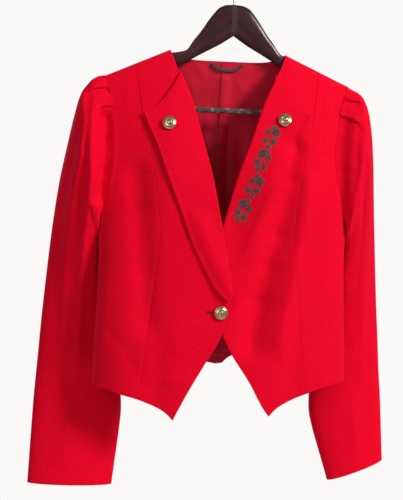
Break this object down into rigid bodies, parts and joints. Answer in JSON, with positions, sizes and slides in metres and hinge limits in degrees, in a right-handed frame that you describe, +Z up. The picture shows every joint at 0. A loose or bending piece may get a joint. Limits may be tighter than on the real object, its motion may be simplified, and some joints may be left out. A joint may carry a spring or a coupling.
{
  "type": "trachten jacket on a wooden hanger",
  "caption": "cropped trachten jacket in fulled wool with turned-back pointed lapels, pleated sleeve heads and a cutaway front, hung on a contoured wooden hanger with a trouser bar",
  "frame": {"origin": "where a rail carries the hanger: the inside top of the hook's wire, on the hanger's middle plane", "axes": "+Z up, along the hook's neck; the jacket's front faces -Y; +X is the wearer's left, which is the picture's right"},
  "size_m": [0.548, 0.1464, 0.802],
  "materials": {
    "red_wool": "fulled wool broadcloth with a short brushed nap, bright red",
    "crimson_satin": "satin lining, soft gloss, crimson",
    "brass": "antiqued stamped brass, domed, worn bright on the high parts",
    "black_tape": "woven tape, black",
    "dark_wood": "dark mahogany stain under gloss varnish",
    "steel_wire": "bright plated steel wire"
  },
  "bodies": {
    "root": {"front_right": "red_wool", "front_left": "red_wool", "side_front_right": "red_wool", "side_front_left": "red_wool", "back_right": "red_wool", "back_left": "red_wool", "side_back_right": "red_wool", "side_back_left": "red_wool", "lapel_right": "red_wool", "lapel_left": "red_wool", "top_sleeve_right": "red_wool", "top_sleeve_left": "red_wool", "under_sleeve_right": "red_wool", "under_sleeve_left": "red_wool", "lining_right": "crimson_satin", "lining_left": "crimson_satin", "button_lapel_right": "brass", "button_lapel_left": "brass", "button_front": "brass", "hanging_loop": "black_tape", "hanger_arm_right": "dark_wood", "hanger_arm_left": "dark_wood", "hanger_bar": "dark_wood", "hanger_hook": "steel_wire"}
  },
  "joints": []
}
